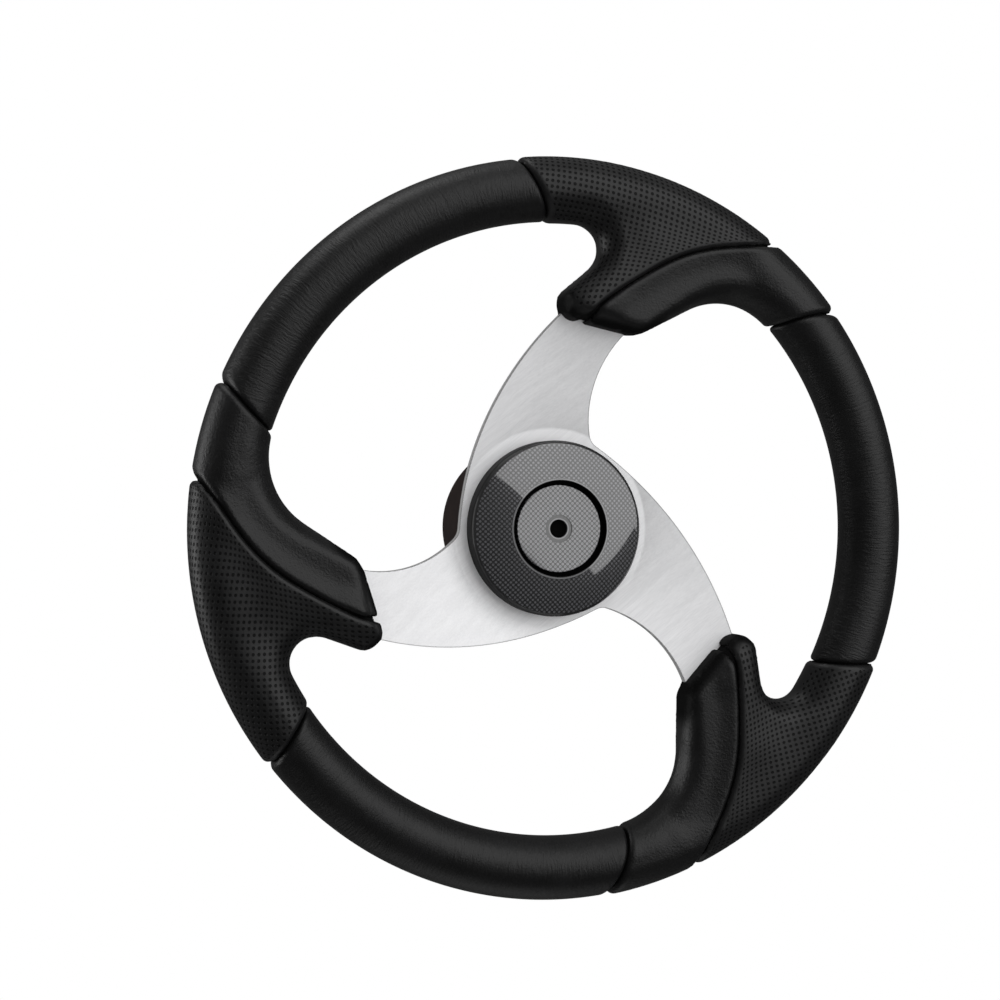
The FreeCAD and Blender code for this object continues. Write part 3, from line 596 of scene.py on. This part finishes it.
@dataclass
class ShapedCovers:
    """The padded covers beside the spokes: three perforated ones and three smooth ones."""

    voxel: float = 1.0           # mm
    grip_r: float = 15.7
    crest: float = 0.99          # the flat crests' share of the grip's radius
    pitch: float = 2.73
    lay: Tuple[float, ...] = (7.0, 43.0, 28.0)   # degrees that the holes' rows are turned, by sector
    bend_z: float = 135.0        # below this height the rows turn with the lobe
    row_curve: float = 460.0
    row_tilt: float = 0.2
    row_lean: float = 0.2
    tilt_low: float = 115.0
    tilt_high: float = 145.0
    swell_r: float = 28.0        # from an edge to the crest of a lobe, at most
    passes: int = 60
    valley: float = 1.2          # hollow along the lobe, between the rim's crest and the curved seam
    valley_at: float = 23.0      # from the outer silhouette
    valley_wide: float = 7.0
    skin_least: float = 0.8      # mm of cover over the foam
    wall_least: float = 4.0      # how far the holes stay from the middle of the inner walls
    tip_r: float = 115.0
    fill: float = 0.9

    def outline(self, places: np.ndarray, normals: np.ndarray, ends: np.ndarray) -> Tuple[np.ndarray, np.ndarray]:
        """Silhouette of the covers in plan.

        A vertex belongs to it if it lies at the middle depth, has no cover 3.2 mm further along
        its normal, and isn't at a sleeve's seam.

        Args:
            places: vertices of both covers in mm.
            normals: their normals.
            ends: plan points of the seams to the sleeves.

        Returns:
            Plan points of the side towards the hub, and of the outer side.
        """
        plan = places[:, [0, 2]]
        cell = 1.25
        low = plan.min(0) - 10.0
        taken = np.zeros(((plan.max(0) + 10.0 - low) / cell).astype(int) + 2, bool)
        taken[tuple(((plan - low) / cell).astype(int).T)] = True
        grown = taken.copy()
        for shift in ((-1, -1), (-1, 0), (-1, 1), (0, -1), (0, 1), (1, -1), (1, 0), (1, 1)):
            grown |= np.roll(taken, shift, (0, 1))
        middle = np.abs(places[:, 1] - MID_Y) < 0.8
        plan, out = plan[middle], normals[middle][:, [0, 2]]
        out = out / np.maximum(np.linalg.norm(out, axis=1), 1e-6)[:, None]
        clear = ~grown[tuple(((plan + out * 3.2 - low) / cell).astype(int).T)]
        edge = plan[clear & (distance_to(ends, plan) > 3.0)]
        outer = np.hypot(*edge.T) > RIM_R + 8.0
        return edge[~outer][::3], edge[outer][::3]

    def rise(self, share: np.ndarray) -> np.ndarray:
        """Quarter circle from 0 at 0 to 1 at 1, flat past it."""
        return np.sqrt(1.0 - (1.0 - np.clip(share, 1e-3, 1.0))**2)

    def lining(self, plan: np.ndarray, depth: np.ndarray, facing: np.ndarray) -> np.ndarray:
        """Depth of the foam under each vertex, from the cover's own side that faces the foam.

        The greatest depth of that side is taken in each cell of a plan grid, spread to the cells
        beside it, and read between the cells.

        Args:
            plan: x and z of the cover's vertices in mm.
            depth: their depths from the middle.
            facing: their normals' share away from the middle.

        Returns:
            Depth in mm, 0 where there is no foam.
        """
        cell = 1.25
        low = plan.min(0) - 4.0 * cell
        spots = (plan - low) / cell
        field = np.zeros((spots.max(0) + 6.0).astype(int))
        inside = facing < -0.05
        np.maximum.at(field, tuple(spots[inside].astype(int).T), np.abs(depth[inside]))
        wide = field.copy()
        for shift in ((-1, -1), (-1, 0), (-1, 1), (0, -1), (0, 1), (1, -1), (1, 0), (1, 1)):
            wide = np.maximum(wide, np.roll(field, shift, (0, 1)))
        (i, j), (a, b) = np.floor(spots - 0.5).astype(int).T, ((spots - 0.5) % 1.0).T
        return ((wide[i, j] * (1 - b) + wide[i, j + 1] * b) * (1 - a)
                + (wide[i + 1, j] * (1 - b) + wide[i + 1, j + 1] * b) * a)

    def domed(self, places: np.ndarray, normals: np.ndarray, edges: np.ndarray, sides: Sequence[np.ndarray],
              ends: np.ndarray, swoosh: np.ndarray, lean: float) -> np.ndarray:
        """Depths of a cover whose lobe is domed up to the curved seam.

        The section from an edge is a quarter circle of the grip's radius and then flat. It becomes
        a quarter ellipse that reaches as far as the seam, or swell_r, or the grip's own crest,
        whichever is nearest, with a share of a straight slope, so each depth is multiplied by the
        ratio of the two. A bell-shaped hollow runs along the outer silhouette at valley_at. The
        result is drawn towards its neighbours, except along the seams, and stays over the foam.

        Args:
            places: vertices in mm.
            normals: their normals.
            edges: pairs of vertex numbers.
            sides: plan points of the inner and of the outer silhouette.
            ends: plan points of the seams to the sleeves.
            swoosh: plan points of the curved seam.
            lean: the straight slope's share.

        Returns:
            New y of each vertex.
        """
        plan = places[:, [0, 2]]
        inner, outer = (distance_to(side, plan) for side in sides)
        seam, end = distance_to(swoosh, plan), distance_to(ends, plan)
        reach = np.minimum(inner + seam, inner + outer - self.grip_r)
        spare = (np.clip(reach, self.grip_r, self.swell_r) - self.grip_r) * step_between(end, 2.0, 22.0)
        share = inner / (self.grip_r + spare)
        lean = lean * step_between(spare, 0.0, 6.0)
        scale = self.rise(share) * (1.0 - lean) + np.clip(share, 0.0, 1.0) * lean
        scale = scale / self.rise(inner / self.grip_r)
        start = places[:, 1] - MID_Y
        depth = start
        full = self.grip_r * self.rise(inner / self.grip_r) * self.rise(outer / self.grip_r)
        facing = np.sign(depth) * normals[:, 1]
        skin = np.maximum(step_between(facing, 0.0, 0.25), step_between(np.abs(depth) / full, 0.80, 0.95))
        hollow = (self.valley * np.exp(-((outer - self.valley_at) / self.valley_wide)**2)
                  * step_between(inner + outer, 34.0, 46.0) * step_between(end, 4.0, 16.0)
                  * step_between(seam, 2.0, 8.0))
        depth = depth * (1.0 + skin * (scale - 1.0)) - np.sign(depth) * skin * hollow
        loose = (step_between(facing, 0.0, 0.3) * step_between(seam, 2.5, 6.0) * step_between(end, 3.0, 12.0)
                 * step_between(inner + outer, 32.0, 38.0))
        depth = relaxed(depth, edges, loose, self.passes)
        least = np.where(facing > 0.05, self.lining(plan, start, facing) + self.skin_least, 0.0)
        side = np.sign(start)
        depth = relaxed(side * np.maximum(np.abs(depth), least), edges, loose, self.passes // 4)
        return MID_Y + side * np.maximum(np.abs(depth), least - 0.3)

    def skin(self, node: str) -> bpy.types.Mesh:
        """Even mesh on a cover's own surface.

        The cover's mesh is merged, cut into voxels and drawn back to the nearest point of the
        cover, so its edges stay where they are.

        Args:
            node: name of the frame's node.

        Returns:
            The mesh.
        """
        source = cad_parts[node]
        mesh = source.data.copy()
        work = bmesh.new()
        work.from_mesh(mesh)
        bmesh.ops.remove_doubles(work, verts=work.verts, dist=1e-6)
        work.to_mesh(mesh)
        work.free()
        carrier = bpy.data.objects.new(node + "_work", mesh)
        bpy.context.scene.collection.objects.link(carrier)
        remesh = carrier.modifiers.new("even", "REMESH")
        remesh.mode = "VOXEL"
        remesh.voxel_size = self.voxel * MM
        remesh.use_smooth_shade = True
        wrap = carrier.modifiers.new("fit", "SHRINKWRAP")
        wrap.target = source
        wrap.wrap_method = "NEAREST_SURFACEPOINT"
        bpy.context.view_layer.update()
        evaluated = carrier.evaluated_get(bpy.context.evaluated_depsgraph_get())
        made = bpy.data.meshes.new_from_object(evaluated)
        bpy.data.objects.remove(carrier)
        bpy.data.meshes.remove(mesh)
        return made

    def tip(self, places: np.ndarray) -> np.ndarray:
        """1 near the covers' ends beside the spoke, where the axis is nearer than tip_r, and 0 away from them."""
        return step_between(self.tip_r - np.hypot(places[:, 0], places[:, 2]), 0.0, 8.0)

    def pattern(self, places: np.ndarray, normals: np.ndarray) -> np.ndarray:
        """Hole pattern's map on the first sector.

        A point's turn from the face is the arc cosine of its depth over the grip's radius, and
        it is unrolled outwards by r times (turn - sin turn). Columns lean in below bend_z by row_lean
        times softplus(bend_z - z); rows are arched by x squared over row_curve, and tilt with x
        below tilt_high.

        Args:
            places: vertices in mm.
            normals: their normals.

        Returns:
            Two numbers a vertex, in pitches.
        """
        depth = np.abs(places[:, 1] - MID_Y) / (self.grip_r * self.crest)
        turn = np.arccos(np.clip(depth, 0.0, 1.0))
        out = normals[:, [0, 2]]
        out = out / np.maximum(np.linalg.norm(out, axis=1), 1e-6)[:, None]
        unroll = self.grip_r * (turn - np.sin(turn)) * (1.0 - self.tip(places))
        plan = places[:, [0, 2]] + out * unroll[:, None]
        x, z = plan.T
        share = np.clip((self.tilt_high - z) / (self.tilt_high - self.tilt_low), 0.0, 1.0)
        tilt = self.row_tilt * share * share * (3.0 - 2.0 * share)
        u = x + self.row_lean * 4.0 * np.logaddexp(0.0, (self.bend_z - z) / 4.0)
        v = z + x * x / self.row_curve - tilt * x
        return np.column_stack((u, v)) / self.pitch

    def build(self) -> None:
        swoosh = seam_run(SWOOSH, 400)
        ends = np.vstack((seam_run(SEAM_IN), seam_run(SEAM_OUT)))
        seams = np.vstack((seam_run(SEAM_IN), swoosh))
        dotted = CoverLeather("cover_perforated", Grain.PERFORATED, (0.003, 0.003, 0.0032),
                              (0.006, 0.006, 0.0064)).material()
        plain = CoverLeather("cover_smooth", Grain.SMOOTH).material()
        kinds = (("perforated_panel", dotted, "perforated_cover", 0.0), ("smooth_panel", plain, "smooth_cover", 0.25))
        meshes = [self.skin(f"{kind}_1") for kind, _, _, _ in kinds]
        arrays = [vertex_arrays(mesh) for mesh in meshes]
        sides = self.outline(*(np.vstack(pair) for pair in zip(*arrays)), ends)
        for mesh, (places, normals), (kind, material, slot, lean) in zip(meshes, arrays, kinds):
            edges = np.zeros(len(mesh.edges) * 2, np.int32)
            mesh.edges.foreach_get("vertices", edges)
            holes = self.pattern(places, normals)
            facing = np.sign(places[:, 1] - MID_Y) * normals[:, 1]
            if kind == "perforated_panel":
                plan, depth = places[:, [0, 2]], np.abs(places[:, 1] - MID_Y)
                wall = depth + 3.0 * distance_to(sides[0], plan) - self.wall_least
                flat = (facing - 0.6) * 12.0 + (1.0 - self.tip(places)) * 20.0
                set_number(mesh, "margin", np.minimum(np.minimum(distance_to(seams, plan), wall), flat))
            # Painted shade on the covers' ends beside the spokes, except where they face forwards.
            set_number(mesh, "darkened", self.tip(places) * (1.0 - step_between(facing, 0.35, 0.75)))
            places[:, 1] = self.domed(places, normals, edges.reshape(-1, 2), sides, ends, swoosh, lean)
            for index in range(SECTORS):
                turned = mesh.copy()
                turned.vertices.foreach_set("co", (turned_back(places, -index) * MM).astype(np.float32).ravel())
                turned.update()
                if kind == "perforated_panel":
                    cos, sin = math.cos(math.radians(self.lay[index])), math.sin(math.radians(self.lay[index]))
                    set_map(turned, holes @ np.array(((cos, sin), (-sin, cos))))
                node = f"{kind}_{index + 1}"
                piece = shown(f"cover_{node}", turned, material)
                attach(piece, "root")
                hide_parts(node)
                log.info("%s: %d faces", piece.name, len(turned.polygons))
            bpy.data.meshes.remove(mesh)


@dataclass
class PlainSleeves:
    """The padded covers of the round stretches of rim."""

    grip_r: float = 15.0
    under_r: float = 11.8
    roll: float = 2.8
    gap: float = 0.25
    round_steps: int = 112
    along_steps: int = 190
    roll_steps: int = 9
    fill: float = 0.95

    def seam_angle(self, places: Sequence[Place], radius: np.ndarray) -> np.ndarray:
        """Angle round the axis at which a seam crosses each radius, in radians."""
        run = seam_run(places)
        reach = np.hypot(run[:, 0], run[:, 1])
        order = np.argsort(reach)
        return np.interp(radius, reach[order], np.arctan2(run[:, 1], run[:, 0])[order])

    def grid(self) -> Tuple[np.ndarray, np.ndarray]:
        """Surface of a sleeve, closed both ways.

        A circle of the grip's radius is carried along the rim between the two seams. At a distance
        s from a seam that is less than the roll, its radius is r - roll + sqrt(roll^2 - (roll - s)^2).
        The wall goes down to the foam at each end and back inside it.

        Returns:
            Points in mm, (along, round, 3), and the map's pairs in mm, (along, round, 2).
        """
        turn = np.arange(self.round_steps) * (2 * math.pi / self.round_steps)
        rolled = self.roll * (1 - np.cos(np.linspace(0.0, math.pi / 2, self.roll_steps)))
        share = np.linspace(0.0, 1.0, self.along_steps)
        low = self.grip_r - self.roll + np.sqrt(self.roll**2 - (self.roll - rolled)**2)
        reach = np.concatenate(([self.under_r], low, np.full(self.along_steps - 2, self.grip_r), low[::-1],
                                [self.under_r], np.full(self.along_steps // 4, self.under_r)))
        from_first = np.concatenate(([0.0], rolled, np.zeros(self.along_steps - 2), np.zeros(self.roll_steps), [0.0],
                                     np.zeros(self.along_steps // 4)))
        from_last = np.concatenate(([0.0], np.zeros(self.roll_steps), np.zeros(self.along_steps - 2), rolled[::-1],
                                    [0.0], np.zeros(self.along_steps // 4)))
        spread = np.concatenate((np.zeros(self.roll_steps + 1), share[1:-1], np.ones(self.roll_steps + 1),
                                 np.linspace(1.0, 0.0, self.along_steps // 4 + 2)[1:-1]))
        radius = RIM_R + reach[:, None] * np.cos(turn)[None, :]
        start = self.seam_angle(SEAM_OUT, radius)
        end = self.seam_angle([(drop, degrees - 360.0 / SECTORS) for drop, degrees in SEAM_IN], radius)
        first = start - (self.gap + from_first[:, None]) / radius
        last = end + (self.gap + from_last[:, None]) / radius
        inner_first = start - (self.gap + self.roll) / radius
        inner_last = end + (self.gap + self.roll) / radius
        t = spread[:, None]
        middle = inner_first * (1 - t) + inner_last * t
        angle = np.where(t <= 0.0, first, np.where(t >= 1.0, last, middle))
        y = MID_Y + reach[:, None] * np.sin(turn)[None, :]
        points = np.stack((radius * np.cos(angle), y, radius * np.sin(angle)), -1)
        around = np.broadcast_to(self.grip_r * turn[None, :], radius.shape)
        return points, np.stack((RIM_R * angle, around), -1)

    def build(self) -> None:
        leather = CoverLeather("cover_creased", Grain.CREASED).material()
        points, pairs = self.grid()
        rows, columns = points.shape[:2]
        numbers = np.arange(rows * columns).reshape(rows, columns)
        after = np.roll(numbers, -1, 0)
        faces = np.stack((numbers, np.roll(numbers, -1, 1), np.roll(after, -1, 1), after), -1).reshape(-1, 4)
        for index in range(SECTORS):
            mesh = bpy.data.meshes.new(f"sleeve_{index + 1}")
            placed = turned_back(points.reshape(-1, 3), -index) * MM
            mesh.from_pydata(placed.tolist(), [], faces.tolist())
            mesh.update()
            set_map(mesh, pairs.reshape(-1, 2))
            mesh.polygons.foreach_set("use_smooth", np.ones(len(mesh.polygons), bool))
            piece = shown(f"cover_plain_sleeve_{index + 1}", mesh, leather)
            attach(piece, "root")
            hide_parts(f"plain_sleeve_{index + 1}")
            log.info("%s: %d faces", piece.name, len(mesh.polygons))


@dataclass
class SnapCap:
    """The cap: a tall side, a gentle slope up to the lip of a round well, and the well's floor."""

    radius: float = 42.0
    wall: float = 2.4
    base_y: float = -47.5
    shoulder_y: float = -57.6
    edge_round: float = 2.6
    well_r: float = 22.8
    lip_y: float = -62.5
    lip_round: float = 0.6
    floor_y: float = -57.4
    crown: float = 0.5           # how far the slope bulges in its middle
    round_steps: int = 240

    def corner(self, before: Place, at: Place, after: Place, round_: float, steps: int = 10) -> np.ndarray:
        """Rounded corner: a quadratic arc that starts and ends round_ before and after the corner."""
        first, middle, last = (np.array(point, float) for point in (before, at, after))
        first = middle + (first - middle) * (round_ / np.linalg.norm(first - middle))
        last = middle + (last - middle) * (round_ / np.linalg.norm(last - middle))
        t = np.linspace(0.0, 1.0, steps)[:, None]
        return first * (1 - t)**2 + middle * 2 * t * (1 - t) + last * t**2

    def profile(self) -> np.ndarray:
        """Closed outline of the section, (radius, y), from the middle of the well's floor outwards.

        The slope is a straight line from the shoulder to the lip that bulges by crown times
        four times t (1 - t).
        """
        shoulder, lip = (self.radius, self.shoulder_y), (self.well_r, self.lip_y)
        edge = self.corner((self.radius, self.base_y), shoulder, lip, self.edge_round)
        brim = self.corner(shoulder, lip, (self.well_r, self.floor_y), self.lip_round)
        t = np.linspace(0.0, 1.0, 18)[1:-1, None]
        slope = edge[-1] * (1 - t) + brim[0] * t
        slope[:, 1] -= (self.crown * 4.0 * t * (1 - t))[:, 0]
        inner_r, well_in = self.radius - self.wall, self.well_r + self.wall
        inside = [(0.0, self.floor_y + self.wall), (well_in, self.floor_y + self.wall),
                  (well_in, self.lip_y + 2 * self.wall), (inner_r, self.shoulder_y + 1.6 * self.wall),
                  (inner_r, self.base_y), (self.radius, self.base_y)]
        outside = np.vstack((edge, slope, brim, [(self.well_r, self.floor_y), (0.0, self.floor_y)]))
        return np.vstack((inside, outside))

    def build(self) -> None:
        """Turns the profile round the axis; both ends of the outline are on the axis."""
        outline = self.profile()
        turn = np.arange(self.round_steps) * (2 * math.pi / self.round_steps)
        radius = np.maximum(outline[:, :1], 1e-4)
        depth = np.broadcast_to(outline[:, 1:], (len(outline), self.round_steps))
        points = np.stack((radius * np.cos(turn), depth, radius * np.sin(turn)), -1)
        numbers = np.arange(points.shape[0] * points.shape[1]).reshape(points.shape[:2])
        low, high = numbers[:-1], numbers[1:]
        faces = np.stack((low, high, np.roll(high, -1, 1), np.roll(low, -1, 1)), -1).reshape(-1, 4)
        mesh = bpy.data.meshes.new("snap_cap")
        mesh.from_pydata((points.reshape(-1, 3) * MM).tolist(), [], faces.tolist())
        work = bmesh.new()
        work.from_mesh(mesh)
        bmesh.ops.remove_doubles(work, verts=work.verts, dist=1e-6)
        bmesh.ops.recalc_face_normals(work, faces=work.faces)
        work.to_mesh(mesh)
        work.free()
        mesh.set_sharp_from_angle(angle=math.radians(35.0))
        # The cap's film: painted shade in the well and on the side, and a painted highlight on the lip.
        piece = shown("snap_cap", mesh, WovenFilm("cap_film").material())
        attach(piece, "root")
        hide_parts("centre_cap")
        log.info("%s: %d faces", piece.name, len(mesh.polygons))


@dataclass
class HardParts:
    """The frame's own rigid pieces, each with its finish."""

    def finishes(self) -> Mapping[str, bpy.types.Material]:
        """One material for each start of a node's name."""
        steel = Moulding("zinc_steel", (0.42, 0.42, 0.44), (0.55, 0.55, 0.56), 0.36, 1.0, 0.3, 0.008).material()
        alloy = Moulding("cast_alloy", (0.52, 0.52, 0.53), (0.62, 0.62, 0.63), 0.48, 1.0, 0.6, 0.03).material()
        return {
            "spoke_plate": BrushedMetal("spoke_brushed").material(),
            "spoke_tab": steel,
            "tab_rivets": steel,
            "rim_ring": steel,
            "hub_screws": steel,
            "hub": alloy,
            "boss_cover": Moulding("boss_plastic", (0.009, 0.0035, 0.0028), (0.014, 0.0065, 0.005), 0.5,
                                   gloss=0.15).material(),
            # Black plastic, darkened further and made less shiny as painted shade at the bottom of the eye hole.
            "cap_carrier": Moulding("carrier_plastic", (0.003, 0.003, 0.003), (0.005, 0.005, 0.005), 0.8,
                                    gloss=0.05).material(),
            # The foam's own dark grey, darkened further as painted shade in the gaps between the covers.
            "foam_core": Moulding("rim_foam", (0.004, 0.004, 0.004), (0.007, 0.007, 0.007), 0.9, 0.0, 1.2, 0.2,
                                  gloss=0.05).material(),
            # The disc's film: painted shade in its eye hole, inside pit_r, and a painted highlight round it.
            "cap_disc": WovenFilm("disc_film", (0.006, 0.006, 0.007), (0.20, 0.20, 0.212), inner_r=6.6,
                                  pit_r=4.2).material(),
        }

    def build(self) -> None:
        """Gives each node the finish of the longest start that fits its name."""
        finishes = self.finishes()
        for name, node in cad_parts.items():
            fitting = [start for start in finishes if name.startswith(start)]
            if not fitting:
                continue
            material = finishes[max(fitting, key=len)]
            for slot in node.material_slots:
                slot.material = material
            log.info("%s: %s", name, material.name)


@dataclass
class Studio:
    """White surroundings, a pale floor, soft lamps and the camera."""

    lens: float = 68.437
    eye: Tuple[float, float, float] = (-0.27497, -0.91950, 0.01633)
    aim: Tuple[float, float, float] = (-0.02774, -0.05503, 0.01362)
    ambient: float = 0.70
    room: float = 0.05
    back: float = 0.10
    above: float = 0.35
    floor_drop: float = 1.6
    floor_size: float = 1.4

    def surroundings(self) -> None:
        """Soft even room, white to the camera and dim to shiny surfaces, paler behind and above the wheel."""
        world = bpy.data.worlds.new("surroundings")
        bpy.context.scene.world = world
        world.use_nodes = True
        graph = Graph(world.node_tree)
        camera = graph.node("ShaderNodeLightPath", None, None, "Is Camera Ray")
        shiny = Wire(graph, camera.socket.node.outputs["Is Glossy Ray"])
        heading = graph.node("ShaderNodeTexCoord", None, None, "Generated")
        _, ahead, height = graph.axes(heading)
        reflected = (self.room + ahead.ramp(0.2, 0.8) * (self.back - self.room)
                     + height.ramp(0.55, 0.95) * (self.above - self.room))
        level = self.ambient + shiny * (reflected - self.ambient)
        shown_level = level + camera * (1.0 - level)
        light = graph.node("ShaderNodeBackground", None, {"Color": (1.0, 1.0, 1.0), "Strength": shown_level})
        output = graph.tree.nodes.new("ShaderNodeOutputWorld")
        graph.tree.links.new(light.socket, output.inputs["Surface"])

    def floor(self) -> None:
        """Pale floor under the wheel, white to the camera."""
        half = self.floor_size / 2
        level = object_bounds()[0].z - self.floor_drop
        mesh = bpy.data.meshes.new("floor")
        mesh.from_pydata([(-half, -half, level), (half, -half, level), (half, half, level), (-half, half, level)],
                         [], [(0, 1, 2, 3)])
        material, graph = fresh_material("floor_pale")
        pale = graph.node("ShaderNodeBsdfDiffuse", None, {"Color": (0.5, 0.5, 0.5)})
        white = graph.node("ShaderNodeEmission", None, {"Color": (1.0, 1.0, 1.0), "Strength": 1.0})
        seen = graph.node("ShaderNodeLightPath", None, None, "Is Camera Ray")
        graph.finish(graph.node("ShaderNodeMixShader", None, {0: seen, 1: pale, 2: white}))
        shown("floor", mesh, material)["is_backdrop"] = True

    def lamp(self, name: str, place: Sequence[float], size: Tuple[float, float], watts: float,
             roll: float = 0.0) -> None:
        """Soft white lamp that looks at the wheel.

        Args:
            name: its name.
            place: where it is, in metres.
            size: width and height in metres.
            watts: power.
            roll: degrees that it is turned about its own axis.
        """
        data = bpy.data.lights.new(name, "AREA")
        data.shape = "RECTANGLE"
        data.size, data.size_y = size
        data.energy = watts
        obj = bpy.data.objects.new(name, data)
        obj.location = Vector(place)
        heading = (Vector(self.aim) - Vector(place)).to_track_quat("-Z", "Y")
        obj.rotation_euler = (heading @ Quaternion((0.0, 0.0, 1.0), math.radians(roll))).to_euler()
        obj.visible_camera = False
        bpy.context.scene.collection.objects.link(obj)

    def camera(self) -> None:
        """Camera at the photo's angle."""
        data = bpy.data.cameras.new("camera")
        data.lens = self.lens
        data.sensor_width = 36.0
        obj = bpy.data.objects.new("camera", data)
        obj.location = Vector(self.eye)
        obj.rotation_euler = (Vector(self.aim) - Vector(self.eye)).to_track_quat("-Z", "Y").to_euler()
        bpy.context.scene.collection.objects.link(obj)
        bpy.context.scene.camera = obj

    def build(self) -> None:
        """Sets up the room, the floor, the lamps and the camera."""
        bpy.context.scene.view_settings.view_transform = "Standard"
        self.surroundings()
        self.floor()
        self.lamp("softbox_front", (0.72, -1.327, 0.666), (1.7, 2.5), 19.0, 40.9)
        self.lamp("softbox_top", (-0.6, 0.1, 1.7), (0.9, 0.9), 6.0)
        self.lamp("strip_left", (-1.41, 0.42, 0.10), (0.5, 1.2), 7.0)
        self.camera()


def main() -> None:
    """Builds the sub-assemblies in order."""
    logging.basicConfig(level=logging.INFO, format="%(name)s: %(message)s")
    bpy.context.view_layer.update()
    Studio().build()
    HardParts().build()
    ShapedCovers().build()
    PlainSleeves().build()
    SnapCap().build()


if __name__ == "__main__":
    main()
